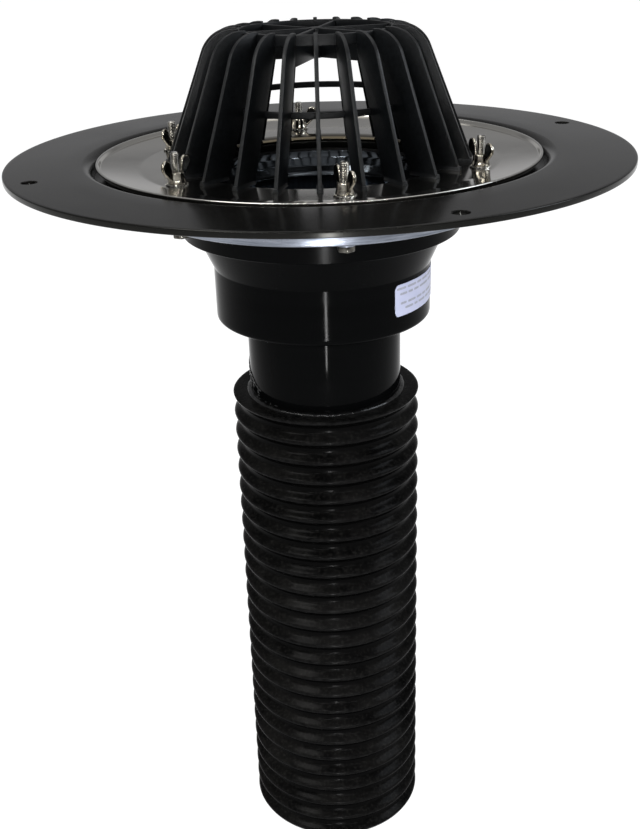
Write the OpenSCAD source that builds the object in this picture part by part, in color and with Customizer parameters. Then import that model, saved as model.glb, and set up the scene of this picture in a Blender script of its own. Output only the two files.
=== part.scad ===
// Flat roof drain with a clamping ring, a leaf strainer and a corrugated outlet hose.
// Z = 0 is the underside of the roof flange's rim, on the drain's axis.

/* [Roof flange] */
// Width of the flat rim round the dished centre
rim_w = 50; // [35:0.5:70]
// Thickness of the flange plate at its rim
flange_t = 4; // [3:0.5:7]
// Depth of the dished centre below the rim
dish_depth = 9.5; // [6:0.5:12]
// Gap between the clamping ring and the foot of the dish's wall
dish_gap = 1.5; // [1:0.5:10]
// Thickness of the dish's floor
dish_floor_t = 5; // [3:0.5:8]
// Width of the curved wall between floor and rim
dish_wall_w = 8; // [6:1:18]
// Distance of the deck screws from the flange's edge
deck_edge = 14.5; // [10:0.5:20]
// Diameter of a deck screw hole
deck_hole_d = 10; // [5:0.5:12]

/* [Clamping ring and seals] */
// Width of the clamping ring outside the bolts
ring_margin = 37; // [28:0.5:50]
// How far the clamping ring reaches into the throat
ring_reach = 2.5; // [0.5:0.5:6]
// Sheet thickness of the clamping ring
ring_t = 1.5; // [1:0.25:3]
// Height of the ring's raised outer lip
lip_h = 5.5; // [1:0.5:8]
// Width of the slope up to the lip
lip_slope_w = 8; // [4:1:12]
// Width of the flat edge on the lip
lip_edge_w = 2.5; // [1:0.5:4]
// Thickness of the seal under the clamping ring
seal_t = 2.5; // [1:0.5:4]
// How far the seal stops short of the ring's slope
seal_inset = 3; // [1:0.5:8]
// Thickness of the seal between roof flange and drain body
body_seal_t = 2; // [1:0.5:4]

/* [Drain body] */
// Distance from the bolts to the edge of the body's flange
bolt_edge = 10; // [8:0.5:16]
// Thickness of the body's bolted flange
body_flange_t = 10; // [6:0.5:16]
// Wall thickness of the collar inside the backing ring
collar_wall = 14; // [10:0.5:20]
// Height of the collar
collar_h = 25; // [16:1:40]
// How much wider the cone is at its top than the sump
cone_flare = 11; // [4:0.5:14]
// How much wider the cone's bore is at its top
bore_flare = 10; // [4:0.5:14]
// Height of the cone
cone_h = 24; // [10:1:40]
// Room round the outlet pipe inside the sump
sump_room = 11; // [6:0.5:20]
// Height of the straight part of the sump
sump_h = 38; // [38:1:60]
// Wall and floor thickness of the sump
sump_wall = 10; // [5:0.5:12]
// Rounding of the sump's lower edge
sump_edge_r = 3; // [1:0.5:5]
// Height of the throat inside the body, down to the ledge
throat_h = 18; // [12:0.5:20]
// Height of the sloping ledge below the throat
ledge_h = 3.5; // [1:0.5:5]
// Width of the sloping ledge
ledge_w = 6; // [2:0.5:8]

/* [Backing ring] */
// How far the backing ring stops short of the body flange's edge
backing_step = 1; // [0.5:0.5:3]
// Thickness of the backing ring
backing_t = 7; // [3:0.5:10]
// Rounding of the backing ring's outer edges
backing_edge = 1.2; // [0.4:0.2:1.4]

/* [Outlet pipe and hose] */
// Outer diameter of the outlet pipe
pipe_d = 110; // [90:1:116]
// Wall thickness of the outlet pipe
pipe_wall = 5; // [3:0.5:8]
// Length of the outlet pipe
pipe_length = 104; // [95:1:160]
// Length of pipe that shows between sump and hose
pipe_show = 58.2; // [30:0.2:80]
// Room between the pipe and the hose's narrowest places
hose_room = 5.2; // [1:0.2:12]
// Distance between two crests of the hose
hose_pitch = 15.4; // [10:0.2:24]
// Number of whole waves along the hose
hose_waves = 24; // [6:1:30]
// Depth of the hose's waves
hose_wave = 5.5; // [3:0.5:7]
// Wall thickness of the hose
hose_wall = 2.5; // [1.5:0.25:4]
// Width of the sealant bead on the joint of pipe and hose
bead_w = 3.5; // [2:0.5:6]
// Height of the sealant bead
bead_h = 2.5; // [1:0.5:4]

/* [Strainer dome] */
// Distance from the bolts to the fins' feet
dome_gap = 8.8; // [8.4:0.2:14]
// Height of the dome
dome_h = 86; // [60:1:110]
// Lean of the fins from upright
dome_lean = 21.5; // [14:0.5:26]
// Radius of the shoulder
dome_shoulder_r = 22; // [10:1:25]
// Number of fins
fin_n = 24; // [12:12:36]
// Thickness of a fin
fin_t = 2.6; // [1.6:0.2:4]
// Depth of a fin across its lean
fin_depth = 20; // [18:0.5:24]
// Thickness of the ring that joins the fins at the top
crown_w = 3; // [2:0.5:4]
// Height of the top ring
crown_h = 4.2; // [3:0.2:8]
// How far the fins stand above the top ring
fin_proud = 1.2; // [0.2:0.2:3]
// Number of ribs that cross the top
rib_n = 6; // [2:2:8]
// Depth of a crossing rib
rib_h = 18; // [8:1:24]
// How far the ribs lie below the fins' tops
rib_drop = 2; // [1.5:0.5:5]
// Diameter of the hub where the ribs meet
hub_d = 9; // [6:1:20]
// Height of the hoop's middle above the dome's foot
hoop_z = 39.3; // [20:0.1:50]
// Height of the hoop
hoop_h = 4; // [2:0.2:8]
// Thickness of the hoop
hoop_w = 3; // [2:0.5:5]
// Width of a fin's flared foot
foot_w = 6; // [5:0.5:9]
// Height of a fin's flared foot
foot_h = 4; // [2:0.5:8]
// How far a foot stands out past its fin
foot_out = 0.4; // [0.2:0.2:1]

/* [Clamping bolts] */
// Distance of the bolts from the collar
bolt_room = 16; // [14:0.5:24]
// Thread diameter of a clamping bolt
bolt_d = 6; // [5:0.5:6]
// Length of a clamping bolt under its head
bolt_length = 50; // [45:1:60]
// Width of the hexagon across its flats
hex_af = 10; // [8:0.5:12]
// Height of the hexagon head
hex_h = 4; // [3:0.5:6]
// Chamfer at the bolt's end and on its head
bolt_chamfer = 0.8; // [0.4:0.1:1]
// Diameter of the washer under the head
washer_d = 12; // [11:0.5:14]
// Thickness of the washer under the head
washer_t = 1.6; // [1:0.2:2.4]
// Diameter of the toothed washer under the wing nut
toothed_d = 14; // [12:0.5:14]
// Thickness of the toothed washer
toothed_t = 1; // [0.6:0.1:1.6]
// Number of teeth on the toothed washer
tooth_n = 12; // [8:1:16]
// Depth of a tooth
tooth_h = 1.6; // [0.8:0.1:2]
// Diameter of the wing nut's hub at its foot
nut_d = 12.4; // [11:0.2:13]
// Diameter of the wing nut's hub at its top
nut_top_d = 9.6; // [9:0.2:11]
// Height of the wing nut's hub
nut_hub_h = 7.5; // [6:0.5:9]
// Height of the wing nut over its wings
nut_h = 16; // [14:0.5:18]
// Distance over the wing tips
nut_span = 29.6; // [26:0.2:30]
// Thickness of a wing
wing_t = 2.4; // [1.6:0.2:3]
// Radius of a wing's round end
wing_r = 4.4; // [3:0.2:5]

/* [Label] */
// Width of the label round the sump
label_w = 90; // [40:1:120]
// Height of the label
label_h = 22; // [15:1:24]
// Thickness of the label
label_t = 0.3; // [0.2:0.1:0.6]
// Height of the label's lower edge above the drain body's base
label_rise = 13; // [6:1:13]
// Corner radius of the label
label_corner = 3; // [1:0.5:6]

/* [Clearances] */
// Radial play of a bolt in the holes that it passes
bolt_play = 0.3; // [0.2:0.1:0.8]
// Radial play of the wing nut on the bolt
thread_play = 0.05; // [0.02:0.01:0.1]
// Radial play of the backing ring round the collar
backing_play = 1; // [0.3:0.1:2]
// Gap between the outlet pipe and the parts bonded round it
bond_gap = 0.1; // [0.05:0.05:0.3]
// Gap between the label and the sump
label_gap = 0.05; // [0.02:0.01:0.1]

/* [Hidden] */
$fn = 96;

// Heights, from the roof flange's rim downwards
dish_z = flange_t - dish_depth;
ring_z = dish_z + seal_t;
deck_z = ring_z + ring_t;
under_z = dish_z - dish_floor_t;
body_z = under_z - body_seal_t;
back_z = body_z - body_flange_t;
head_z = back_z - backing_t;
collar_z = back_z - collar_h;
sump_z = collar_z - cone_h;
base_z = sump_z - sump_h;
floor_z = base_z + sump_wall;
hose_z = base_z - pipe_show;

// Radii, from the outlet pipe outwards
pipe_r = pipe_d / 2;
bond_r = pipe_r + bond_gap;
sump_bore_r = pipe_r + sump_room;
sump_r = sump_bore_r + sump_wall;
cone_r = sump_r + cone_flare;
ledge_r = sump_bore_r + bore_flare;
throat_r = ledge_r + ledge_w;
collar_r = throat_r + collar_wall;
bolt_r = collar_r + bolt_room;
body_flange_r = bolt_r + bolt_edge;
backing_r = body_flange_r - backing_step;
ring_bore_r = throat_r - ring_reach;
ring_r = bolt_r + ring_margin;
ring_flat_r = ring_r - lip_edge_w - lip_slope_w;
dish_r = ring_r + dish_gap;
flange_r = dish_r + dish_wall_w + rim_w;
deck_r = flange_r - deck_edge;
bolt_hole_r = bolt_d / 2 + bolt_play;
bolt_n = 6;
bolt_start = 30;

// Hose
crest_r = pipe_r + hose_room + hose_wall + hose_wave;
crest_z = hose_z - 1;
hose_end = 1.7;
wave_seg = 12;
crest_sharp = 1.5;

// Fins, measured from the deck that the dome stands on
lean = tan(dome_lean);
fin_foot_r = bolt_r - dome_gap;
fin_run = fin_depth / cos(dome_lean);
fin_phase = 180 / fin_n;
crown_z = dome_h - fin_proud - crown_h;
crown_r = fin_in(crown_z) - crown_w * 0.2;
crown_mid_r = crown_r + crown_w / 2;
rib_t = fin_t * 0.85;
hub_proud = 0.4;
shoulder_turn = 90 - dome_lean;
shoulder_set = dome_shoulder_r * tan(shoulder_turn / 2);

// Wing nuts, turned the way that they were left
nut_turn = [55, 75, 90, 25, 15, 135];
wing_x = nut_span / 2 - wing_r;
wing_z = nut_h - wing_r;

function polar(r, a) = [r * cos(a), r * sin(a)];
function arc(cx, cy, r, a0, a1, n) = [for (i = [0 : n]) [cx, cy] + polar(r, a0 + (a1 - a0) * i / n)];
function fin_out(z) = fin_foot_r - lean * z;
function fin_in(z) = fin_out(z) - fin_run;
function wave(z) = (1 + cos(360 * (z - crest_z) / hose_pitch)) / 2;
function wave_r(z) = crest_r - hose_wave * (1 - pow(wave(z), crest_sharp));
function touch(p, c, r, side) =
    let (d = p - c, l = norm(d)) c + polar(r, atan2(d[1], d[0]) + side * acos(r / l));

module at_bolt(i) {
    rotate([0, 0, bolt_start + i * 360 / bolt_n])
        translate([bolt_r, 0, 0])
            children();
}

module bolt_holes(z0, z1) {
    for (i = [0 : bolt_n - 1])
        at_bolt(i)
            translate([0, 0, z0 - 1])
                cylinder(r = bolt_hole_r, h = z1 - z0 + 2, $fn = 48);
}

module flat_ring(r0, r1, z0, z1) {
    rotate_extrude()
        translate([r0, z0])
            square([r1 - r0, z1 - z0]);
}

// ---- Roof flange ----
module roof_flange() {
    edge = 0.8;
    wall_back = 1.5;
    wall_n = 10;
    wall = [for (i = [0 : wall_n])
        [dish_r, dish_z] + [dish_wall_w * (1 - cos(90 * i / wall_n)), dish_depth * sin(90 * i / wall_n)]];
    color("#26272a")
    difference() {
        rotate_extrude($fn = 180)
            polygon(concat(
                [[throat_r, under_z], [dish_r, under_z]],
                [[dish_r + dish_wall_w + wall_back, 0], [flange_r - edge, 0], [flange_r, edge]],
                [[flange_r, flange_t - edge], [flange_r - edge, flange_t]],
                [for (i = [wall_n : -1 : 0]) wall[i]],
                [[throat_r, dish_z]]
            ));
        bolt_holes(under_z, dish_z);
        for (a = [15 : 90 : 285])
            rotate([0, 0, a])
                translate([deck_r, 0, -1])
                    cylinder(d = deck_hole_d, h = flange_t + 2, $fn = 48);
    }
}

// ---- Clamping ring and seals ----
module clamp_ring() {
    top_r = ring_r - lip_edge_w;
    bend = ring_t * tan(atan2(lip_h, lip_slope_w) / 2);
    color("#b9bcbf")
    difference() {
        rotate_extrude($fn = 180)
            polygon([
                [ring_bore_r, ring_z],
                [ring_flat_r + bend, ring_z],
                [top_r + bend, ring_z + lip_h],
                [ring_r, ring_z + lip_h],
                [ring_r, deck_z + lip_h],
                [top_r, deck_z + lip_h],
                [ring_flat_r, deck_z],
                [ring_bore_r, deck_z]
            ]);
        bolt_holes(ring_z, deck_z);
    }
}

module clamp_seal() {
    color("#1b1b1c")
    difference() {
        flat_ring(throat_r, ring_flat_r - seal_inset, dish_z, ring_z);
        bolt_holes(dish_z, ring_z);
    }
}

module body_seal() {
    color("#1b1b1c")
    difference() {
        flat_ring(throat_r, body_flange_r, body_z, under_z);
        bolt_holes(body_z, under_z);
    }
}

// ---- Drain body ----
module drain_body() {
    edge = 1;
    ledge_z = body_z - throat_h;
    color("#161719")
    difference() {
        rotate_extrude($fn = 144)
            polygon(concat(
                [[bond_r, base_z]],
                arc(sump_r - sump_edge_r, base_z + sump_edge_r, sump_edge_r, -90, 0, 6),
                [[sump_r, sump_z], [cone_r, collar_z]],
                [[collar_r - edge, collar_z], [collar_r, collar_z + edge], [collar_r, back_z]],
                [[body_flange_r - edge, back_z], [body_flange_r, back_z + edge]],
                [[body_flange_r, body_z - edge], [body_flange_r - edge, body_z], [throat_r, body_z]],
                [[throat_r, ledge_z], [ledge_r, ledge_z - ledge_h]],
                [[ledge_r, collar_z], [sump_bore_r, sump_z], [sump_bore_r, floor_z], [bond_r, floor_z]]
            ));
        bolt_holes(back_z, body_z);
    }
}

// ---- Backing ring ----
module backing_ring() {
    in_r = collar_r + backing_play;
    color("#a8b0bc")
    difference() {
        rotate_extrude($fn = 144)
            polygon(concat(
                [[in_r, head_z]],
                arc(backing_r - backing_edge, head_z + backing_edge, backing_edge, -90, 0, 4),
                arc(backing_r - backing_edge, back_z - backing_edge, backing_edge, 0, 90, 4),
                [[in_r, back_z]]
            ));
        bolt_holes(head_z, back_z);
    }
}

// ---- Outlet pipe and hose ----
module outlet_pipe() {
    color("#17181a")
        flat_ring(pipe_r - pipe_wall, pipe_r, floor_z - pipe_length, floor_z);
}

module corrugated_hose() {
    steps = hose_waves * wave_seg;
    wave_z = [for (i = [0 : steps]) crest_z - hose_pitch * i / wave_seg];
    end_z = wave_z[steps] - hose_end;
    end_r = wave_r(end_z);
    web_z = hose_z - hose_wall;
    color("#1d1e20")
        rotate_extrude($fn = 144)
            polygon(concat(
                [[bond_r, web_z], [bond_r, hose_z], [crest_r - 1.2, hose_z], [crest_r - 0.3, hose_z - 0.35]],
                [for (z = wave_z) [wave_r(z), z]],
                [[end_r, end_z], [end_r - hose_wall, end_z]],
                [for (i = [steps : -1 : 2]) [wave_r(wave_z[i]) - hose_wall, wave_z[i]]]
            ));
}

module sealant_bead() {
    color("#101011")
        rotate_extrude($fn = 96)
            polygon([
                [bond_r, hose_z],
                [bond_r + bead_w, hose_z],
                [bond_r + bead_w * 0.8, hose_z + bead_h * 0.45],
                [bond_r + bead_w * 0.45, hose_z + bead_h * 0.8],
                [bond_r, hose_z + bead_h]
            ]);
}

// ---- Strainer dome ----
module fin() {
    top_r = fin_out(dome_h) - shoulder_set;
    shoulder = arc(top_r, dome_h - dome_shoulder_r, dome_shoulder_r, dome_lean, 90, 9);
    translate([0, fin_t / 2, 0])
        rotate([90, 0, 0])
            linear_extrude(fin_t)
                polygon(concat(
                    [[fin_in(0), 0], [fin_out(0), 0]],
                    shoulder,
                    [[crown_mid_r, dome_h], [crown_mid_r, crown_z + crown_h * 0.4]],
                    [[fin_in(crown_z + crown_h * 0.2), crown_z + crown_h * 0.2]]
                ));
}

// A foot widens downwards on both sides of its fin.
module fin_foot() {
    top_w = fin_t * 0.7;
    translate([fin_in(0) + foot_out, 0, 0])
        rotate([90, 0, 90])
            linear_extrude(fin_out(0) - fin_in(0))
                polygon([[-foot_w / 2, 0], [foot_w / 2, 0], [top_w / 2, foot_h], [-top_w / 2, foot_h]]);
}

module cross_rib() {
    rib_z1 = dome_h - rib_drop;
    rib_z0 = rib_z1 - rib_h;
    low_r = fin_in(rib_z0) + 1;
    top_r = crown_mid_r + 1;
    translate([0, rib_t / 2, 0])
        rotate([90, 0, 0])
            linear_extrude(rib_t)
                polygon([[-low_r, rib_z0], [low_r, rib_z0], [top_r, rib_z1], [-top_r, rib_z1]]);
}

module strainer_dome() {
    hoop_r = fin_in(hoop_z) + 1.6;
    hub_h = rib_h + 2 * hub_proud;
    color("#141619")
    translate([0, 0, deck_z]) {
        for (i = [0 : fin_n - 1])
            rotate([0, 0, fin_phase + i * 360 / fin_n]) {
                fin();
                fin_foot();
            }
        for (i = [0 : rib_n / 2 - 1])
            rotate([0, 0, fin_phase + i * 360 / rib_n])
                cross_rib();
        translate([0, 0, dome_h - rib_drop - rib_h - hub_proud])
            cylinder(d = hub_d, h = hub_h, $fn = 48);
        flat_ring(hoop_r - hoop_w, hoop_r, hoop_z - hoop_h / 2, hoop_z + hoop_h / 2);
        flat_ring(crown_r, crown_r + crown_w, crown_z, crown_z + crown_h);
    }
}

// ---- Clamping bolts, washers and wing nuts ----
module hex_bolt() {
    corner_r = hex_af / sqrt(3);
    z0 = head_z - washer_t;
    color("#c3c6ca") {
        translate([0, 0, z0 - hex_h])
            intersection() {
                cylinder(r = corner_r, h = hex_h, $fn = 6);
                cylinder(r1 = hex_af / 2, r2 = hex_af / 2 + hex_h * 1.7, h = hex_h, $fn = 48);
            }
        translate([0, 0, z0])
            cylinder(d = bolt_d, h = bolt_length - bolt_chamfer, $fn = 48);
        translate([0, 0, z0 + bolt_length - bolt_chamfer])
            cylinder(r1 = bolt_d / 2, r2 = bolt_d / 2 - bolt_chamfer, h = bolt_chamfer, $fn = 48);
    }
}

module head_washer() {
    color("#b4b9c2")
        translate([0, 0, head_z - washer_t])
            difference() {
                cylinder(d = washer_d, h = washer_t, $fn = 64);
                translate([0, 0, -1])
                    cylinder(r = bolt_hole_r, h = washer_t + 2, $fn = 48);
            }
}

module toothed_washer() {
    gap_w = 3.14159 * toothed_d / tooth_n * 0.4;
    color("#c9ccd0")
        translate([0, 0, deck_z])
            linear_extrude(toothed_t)
                difference() {
                    circle(d = toothed_d, $fn = 64);
                    circle(r = bolt_hole_r, $fn = 48);
                    for (i = [0 : tooth_n - 1])
                        rotate(i * 360 / tooth_n)
                            translate([toothed_d / 2 - tooth_h, -gap_w / 2])
                                square([tooth_h + 1, gap_w]);
                }
}

module wing() {
    c = [wing_x, wing_z];
    low = [nut_d * 0.42, nut_hub_h * 0.1];
    high = [nut_top_d * 0.44, nut_hub_h * 0.92];
    translate([0, wing_t / 2, 0])
        rotate([90, 0, 0])
            linear_extrude(wing_t) {
                translate(c)
                    circle(r = wing_r, $fn = 48);
                polygon([
                    [bolt_d / 2, low[1]],
                    low,
                    touch(low, c, wing_r, 1),
                    c,
                    touch(high, c, wing_r, -1),
                    high,
                    [bolt_d / 2, high[1]]
                ]);
            }
}

module wing_nut(turn) {
    color("#cfd2d6")
        translate([0, 0, deck_z + toothed_t])
            rotate([0, 0, turn])
                difference() {
                    union() {
                        cylinder(d1 = nut_d, d2 = nut_top_d, h = nut_hub_h, $fn = 64);
                        wing();
                        rotate([0, 0, 180])
                            wing();
                    }
                    translate([0, 0, -1])
                        cylinder(r = bolt_d / 2 + thread_play, h = nut_h + 2, $fn = 48);
                }
}

// ---- Label ----
module blank_label() {
    turn = label_w / sump_r * 180 / 3.14159;
    label_a = -59;
    in_r = sump_r + label_gap;
    half = in_r * sin(turn / 2);
    top = base_z + label_rise + label_h;
    color("#eceef0")
        rotate([0, 0, label_a + turn / 2])
            intersection() {
                flat_ring(in_r, in_r + label_t, top - label_h, top);
                translate([in_r * cos(turn / 2) - label_h, 0, top - label_h])
                    rotate([90, 0, 90])
                        linear_extrude(in_r)
                            label_outline(half);
            }
}

module label_outline(half) {
    r = label_corner;
    translate([-half + r, 0])
        square([2 * half - 2 * r, label_h]);
    translate([-half, r])
        square([2 * half, label_h - 2 * r]);
    for (x = [-half + r, half - r], y = [r, label_h - r])
        translate([x, y])
            circle(r = r, $fn = 24);
}

roof_flange();
clamp_ring();
clamp_seal();
body_seal();
drain_body();
backing_ring();
outlet_pipe();
corrugated_hose();
sealant_bead();
strainer_dome();
blank_label();
at_bolt(0) hex_bolt();  // hex_bolt_1
at_bolt(1) hex_bolt();  // hex_bolt_2
at_bolt(2) hex_bolt();  // hex_bolt_3
at_bolt(3) hex_bolt();  // hex_bolt_4
at_bolt(4) hex_bolt();  // hex_bolt_5
at_bolt(5) hex_bolt();  // hex_bolt_6
at_bolt(0) head_washer();  // head_washer_1
at_bolt(1) head_washer();  // head_washer_2
at_bolt(2) head_washer();  // head_washer_3
at_bolt(3) head_washer();  // head_washer_4
at_bolt(4) head_washer();  // head_washer_5
at_bolt(5) head_washer();  // head_washer_6
at_bolt(0) toothed_washer();  // toothed_washer_1
at_bolt(1) toothed_washer();  // toothed_washer_2
at_bolt(2) toothed_washer();  // toothed_washer_3
at_bolt(3) toothed_washer();  // toothed_washer_4
at_bolt(4) toothed_washer();  // toothed_washer_5
at_bolt(5) toothed_washer();  // toothed_washer_6
at_bolt(0) wing_nut(nut_turn[0]);  // wing_nut_1
at_bolt(1) wing_nut(nut_turn[1]);  // wing_nut_2
at_bolt(2) wing_nut(nut_turn[2]);  // wing_nut_3
at_bolt(3) wing_nut(nut_turn[3]);  // wing_nut_4
at_bolt(4) wing_nut(nut_turn[4]);  // wing_nut_5
at_bolt(5) wing_nut(nut_turn[5]);  // wing_nut_6
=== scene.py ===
# %% [markdown]
# # Flat roof drain
# A flat roof drain carries rain water through a roof. A finned strainer keeps
# leaves out, a steel ring clamps the roofing sheet onto a wide plastic flange,
# and a turned sump, a pipe and a corrugated hose lead the water down. The packed
# solids already hold every size and place, so this lesson loads them and makes a
# finer piece for each one in the same frame: nothing has to be fitted afterwards.
# Sizes are in millimetres and become metres where a mesh is filled.

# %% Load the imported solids
import bpy
import bmesh
import math
from math import cos, sin, tan, pi, radians
from mathutils import Matrix, Vector, noise


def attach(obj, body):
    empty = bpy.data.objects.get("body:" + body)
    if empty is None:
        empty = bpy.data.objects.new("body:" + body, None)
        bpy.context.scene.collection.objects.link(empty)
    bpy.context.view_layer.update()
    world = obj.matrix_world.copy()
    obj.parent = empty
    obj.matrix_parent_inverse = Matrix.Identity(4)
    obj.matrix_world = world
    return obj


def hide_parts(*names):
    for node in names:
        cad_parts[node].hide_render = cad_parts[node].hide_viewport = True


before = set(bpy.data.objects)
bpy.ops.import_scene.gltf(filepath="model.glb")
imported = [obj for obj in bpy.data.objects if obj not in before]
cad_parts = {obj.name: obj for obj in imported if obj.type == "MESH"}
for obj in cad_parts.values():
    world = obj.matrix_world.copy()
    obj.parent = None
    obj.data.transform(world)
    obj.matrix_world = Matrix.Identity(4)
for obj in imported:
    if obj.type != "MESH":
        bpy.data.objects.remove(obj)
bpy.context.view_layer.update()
MM = 0.001
ROOT = "drain"


# %% [markdown]
# ## From an outline to a mesh
# Most pieces of a drain are turned, so one outline spun round the axis, or flat,
# so one outline pushed through a thickness. Blender's Spin tool could do the
# first. A list of corners, each with its own radius, is used instead: it reads
# like a maker's drawing, and it gives a closed wall with points just where they
# are wanted. Doubled points are merged and faces turned outwards every time.

# %% Meshes from outlines
MERGE = 1e-7


def polar(r, a):
    return Vector((r * cos(radians(a)), r * sin(radians(a))))


def rounded(points, steps=4):
    """Corners of a closed profile given as (r, z, corner radius), rounded to arcs."""
    out = []
    n = len(points)
    for i, (x, y, rad) in enumerate(points):
        here = Vector((x, y))
        if rad <= 0:
            out.append(here)
            continue
        a = (Vector(points[i - 1][:2]) - here).normalized()
        b = (Vector(points[(i + 1) % n][:2]) - here).normalized()
        half = a.angle(b) / 2
        reach = rad / tan(half)
        centre = here + (a + b).normalized() * (rad / sin(half))
        v0, v1 = here + a * reach - centre, here + b * reach - centre
        turn = v0.angle_signed(v1)
        for k in range(steps + 1):
            t = -turn * k / steps
            out.append(centre + Vector((v0.x * cos(t) - v0.y * sin(t), v0.x * sin(t) + v0.y * cos(t))))
    return out


def fill_mesh(name, verts, faces):
    """A mesh from points in millimetres, merged and with its faces outwards."""
    mesh = bpy.data.meshes.new(name)
    mesh.from_pydata([Vector(v) * MM for v in verts], [], faces)
    mesh.validate()
    bm = bmesh.new()
    bm.from_mesh(mesh)
    bmesh.ops.remove_doubles(bm, verts=bm.verts, dist=MERGE)
    bmesh.ops.recalc_face_normals(bm, faces=bm.faces)
    bm.to_mesh(mesh)
    bm.free()
    return mesh


def lathe(name, profile, segs=192, shift=None):
    """A closed (r, z) profile turned round Z. shift(r, z, angle) may move a point."""
    verts, faces = [], []
    n = len(profile)
    for k in range(segs):
        a = 2 * pi * k / segs
        for p in profile:
            r, z = shift(p[0], p[1], a) if shift else (p[0], p[1])
            verts.append((r * cos(a), r * sin(a), z))
    for k in range(segs):
        m = (k + 1) % segs
        for i in range(n):
            j = (i + 1) % n
            faces.append((k * n + i, k * n + j, m * n + j, m * n + i))
    return fill_mesh(name, verts, faces)


def between(name, near, far):
    """A closed bar between two equal outlines."""
    n = len(near)
    faces = [tuple(range(n)), tuple(range(2 * n - 1, n - 1, -1))]
    faces += [(i, i + n, (i + 1) % n + n, (i + 1) % n) for i in range(n)]
    return fill_mesh(name, near + far, faces)


def plate(name, outline, thick):
    """A flat plate with this (x, z) outline, centred on y = 0."""
    near, far = ([(x, y, z) for x, z in outline] for y in (-thick / 2, thick / 2))
    return between(name, near, far)


print("outline helpers: rounded, lathe, between, plate")


# %% [markdown]
# ## Objects and modifiers
# A finished piece sits at the origin with its place in its mesh, as the solids
# do, because patterns on object coordinates would slide otherwise. Modifiers such
# as Bevel could stay live, but they are applied here, so that a later step can
# join or copy the result. Each piece rides on a body; hand_over hides the solids
# that it stands for and prints what was made.

# %% Object helpers
def shade(mesh, angle):
    mesh.polygons.foreach_set("use_smooth", [True] * len(mesh.polygons))
    mesh.set_sharp_from_angle(angle=radians(angle))


def loose(name, mesh):
    obj = bpy.data.objects.new(name, mesh)
    bpy.context.scene.collection.objects.link(obj)
    return obj


def taken(obj):
    """The mesh of a helper object, which is removed."""
    mesh = obj.data
    bpy.data.objects.remove(obj)
    return mesh


def add_object(name, mesh, mat, body=ROOT, smooth=35):
    obj = loose(name, mesh)
    mesh.materials.clear()
    mesh.materials.append(mat)
    shade(mesh, smooth)
    if body:
        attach(obj, body)
    return obj


def applied(obj):
    """The object with its modifiers applied to its mesh."""
    bpy.context.view_layer.update()
    got = bpy.data.meshes.new_from_object(obj.evaluated_get(bpy.context.evaluated_depsgraph_get()))
    obj.modifiers.clear()
    obj.data = got
    return obj


def bevelled(mesh, width, segments=2, angle=40):
    obj = loose("tmp_bevel", mesh)
    mod = obj.modifiers.new("bevel", "BEVEL")
    mod.width, mod.segments, mod.limit_method = width * MM, segments, "ANGLE"
    mod.angle_limit = radians(angle)
    return taken(applied(obj))


def cut_out(obj, cutter_mesh):
    """Cuts this mesh's shape out of the object."""
    cutter = loose("tmp_cutter", cutter_mesh)
    cut = obj.modifiers.new("cut", "BOOLEAN")
    cut.operation, cut.object, cut.solver = "DIFFERENCE", cutter, "EXACT"
    applied(obj)
    bpy.data.objects.remove(cutter)
    return obj


def moved(mesh, matrix):
    copy = mesh.copy()
    copy.transform(matrix)
    return copy


def joined(name, meshes, mat, body=ROOT, smooth=35):
    bm = bmesh.new()
    for part in meshes:
        bm.from_mesh(part)
    mesh = bpy.data.meshes.new(name)
    bm.to_mesh(mesh)
    bm.free()
    return add_object(name, mesh, mat, body, smooth)


def hand_over(obj, slot, *nodes):
    """Hides the solids that a piece stands for and prints its size; slot, the finish's name, is not used."""
    if nodes:
        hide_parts(*nodes)
    spots = [v.co for v in obj.data.vertices]
    wide = 2 * max(math.hypot(p.x, p.y) for p in spots) / MM
    tall = (max(p.z for p in spots) - min(p.z for p in spots)) / MM
    print(f"{obj.name}: {len(obj.data.polygons)} faces, {wide:.1f} mm across, {tall:.1f} mm high")
    return obj


print("object helpers ready; pieces ride on", ROOT)


# %% [markdown]
# ## Node helpers
# A finish is a small network of nodes. It can be drawn by hand in the shader
# editor; built in code it stays readable only if each step is one short call. So
# node() makes a node and links or sets its inputs, and the rest are the few steps
# that finishes are made of: sums, products, a stretched range, noise on object
# coordinates, and a mix of two colours.

# %% Nodes by short calls
def node(tree, kind, inputs=None, **props):
    """A new node. Each input takes a value or another node's socket."""
    n = tree.nodes.new(kind)
    for k, v in props.items():
        setattr(n, k, v)
    for k, v in (inputs or {}).items():
        if isinstance(v, bpy.types.NodeSocket):
            tree.links.new(v, n.inputs[k])
        else:
            n.inputs[k].default_value = v
    return n


def math_node(tree, op, a, b=0.0, clamp=False):
    return node(tree, "ShaderNodeMath", {0: a, 1: b}, operation=op, use_clamp=clamp).outputs[0]


def times(tree, a, b):
    return math_node(tree, "MULTIPLY", a, b)


def plus(tree, a, b):
    return math_node(tree, "ADD", a, b)


def spread(tree, value, low, high, start=0.3, end=0.7):
    """Stretches start..end of a value over low..high."""
    ends = {"Value": value, "From Min": start, "From Max": end, "To Min": low, "To Max": high}
    return node(tree, "ShaderNodeMapRange", ends).outputs[0]


def object_place(tree):
    return node(tree, "ShaderNodeTexCoord").outputs["Object"]


def noise_fac(tree, scale, detail=3.0, rough=0.5):
    ins = {"Vector": object_place(tree), "Scale": scale, "Detail": detail, "Roughness": rough}
    return node(tree, "ShaderNodeTexNoise", ins).outputs["Fac"]


def mixed(tree, fac, a, b, **props):
    """A colour between a and b, each a colour or a socket."""
    a, b = (c if isinstance(c, bpy.types.NodeSocket) else (*c[:3], 1) for c in (a, b))
    return node(tree, "ShaderNodeMix", {0: fac, 6: a, 7: b}, data_type="RGBA", **props).outputs[2]


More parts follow.
